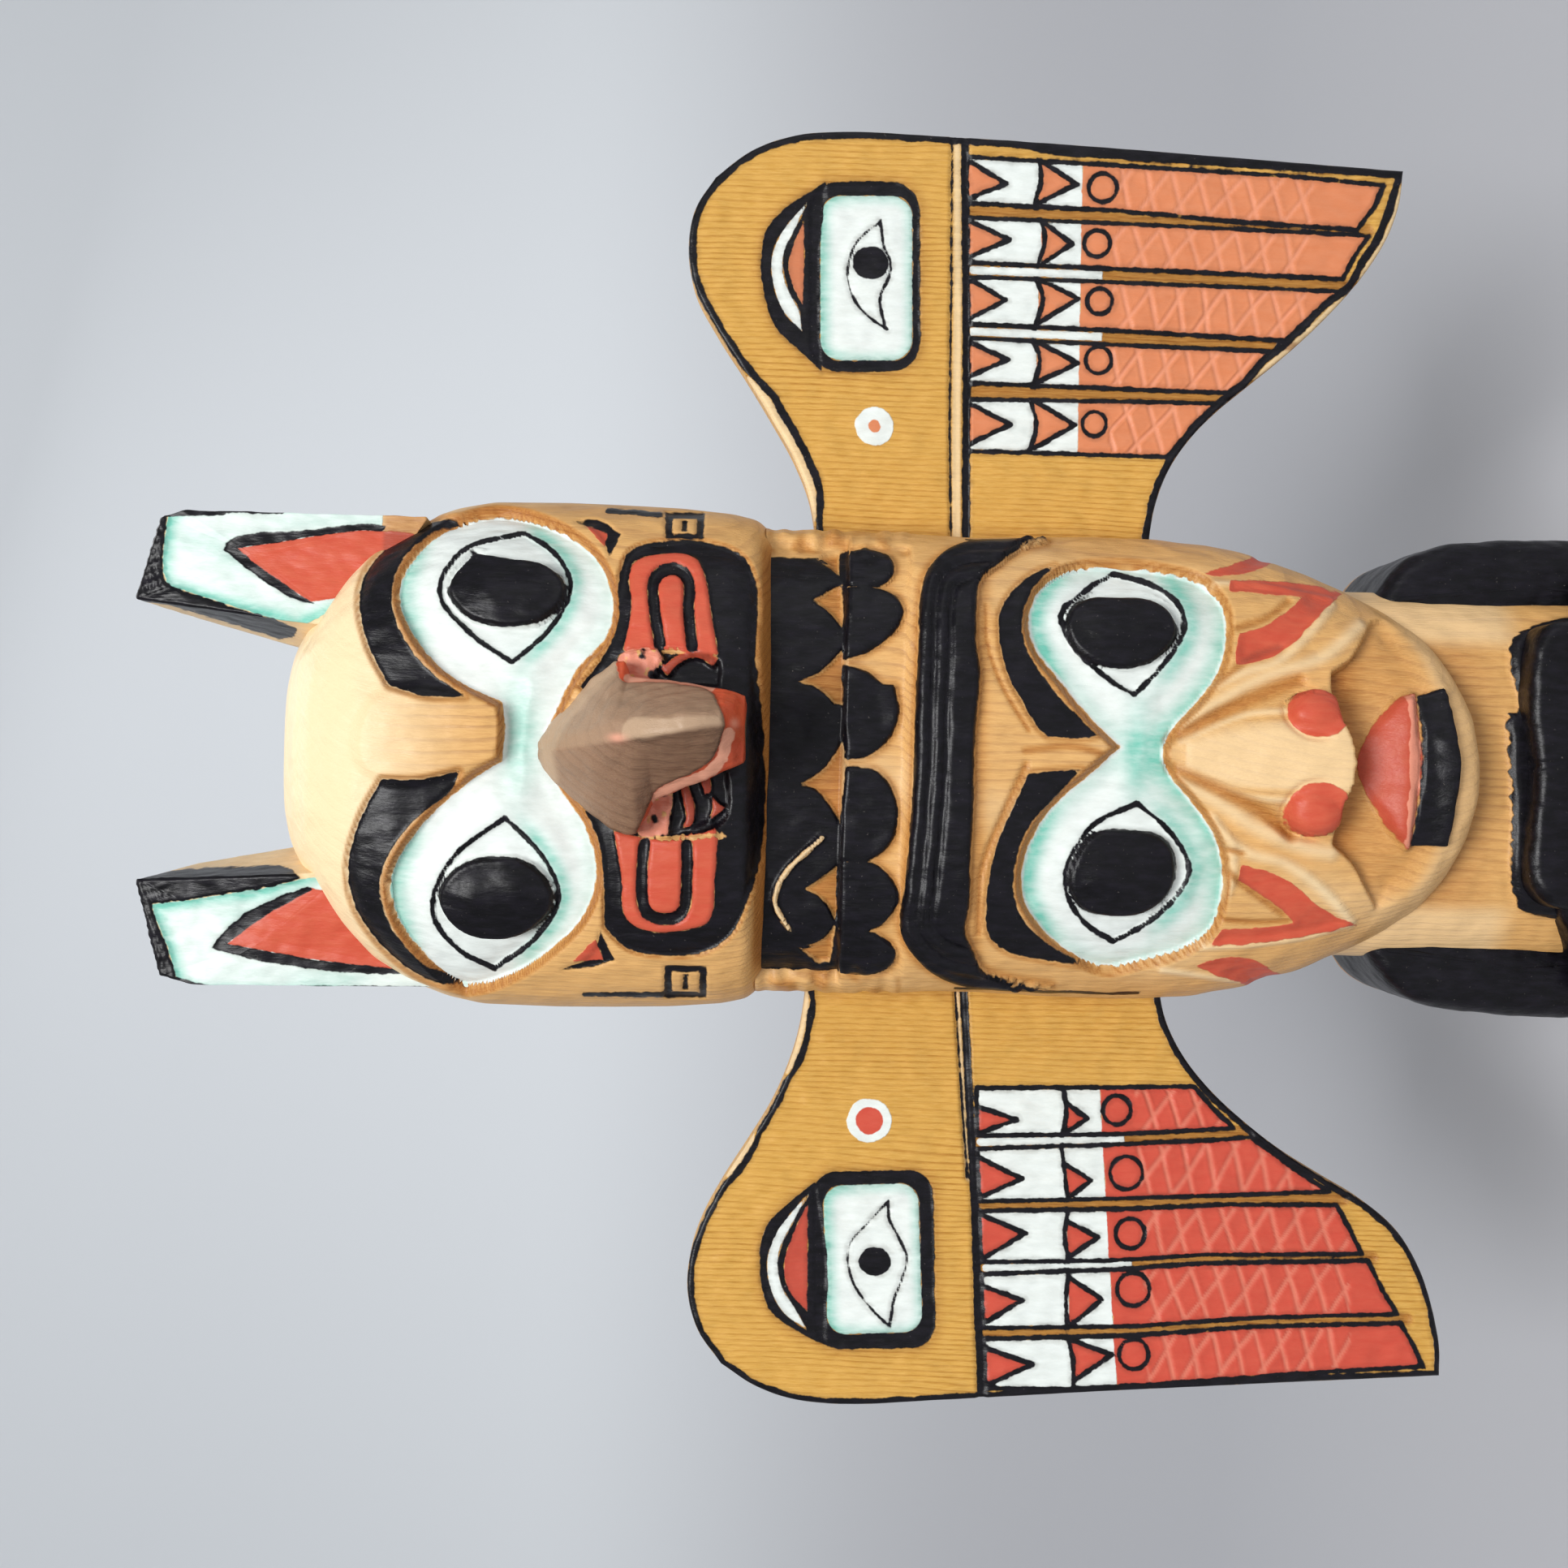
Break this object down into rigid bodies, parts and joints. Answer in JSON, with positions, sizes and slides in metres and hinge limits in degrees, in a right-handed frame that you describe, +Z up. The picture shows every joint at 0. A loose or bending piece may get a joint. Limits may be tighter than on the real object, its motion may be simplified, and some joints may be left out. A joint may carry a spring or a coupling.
{
  "type": "totem pole",
  "caption": "Carved and painted wooden model totem pole: a hook-beaked thunderbird with tall ears and board wings over a man's head and folded hands, on a low base.",
  "frame": {"origin": "on the base's underside, midway between the sides and 22 mm in front of the flat back", "axes": "+Z up the pole, -Y the way the faces look, +X to the right of someone who looks at the faces"},
  "size_m": [0.2317, 0.0735, 0.3008],
  "materials": {
    "carved_wood": "satin varnish over painted carving",
    "wing_board": "satin varnish over painted flat board"
  },
  "bodies": {
    "root": {"pole": "carved_wood", "wing_left": "wing_board", "wing_right": "wing_board"}
  },
  "joints": []
}
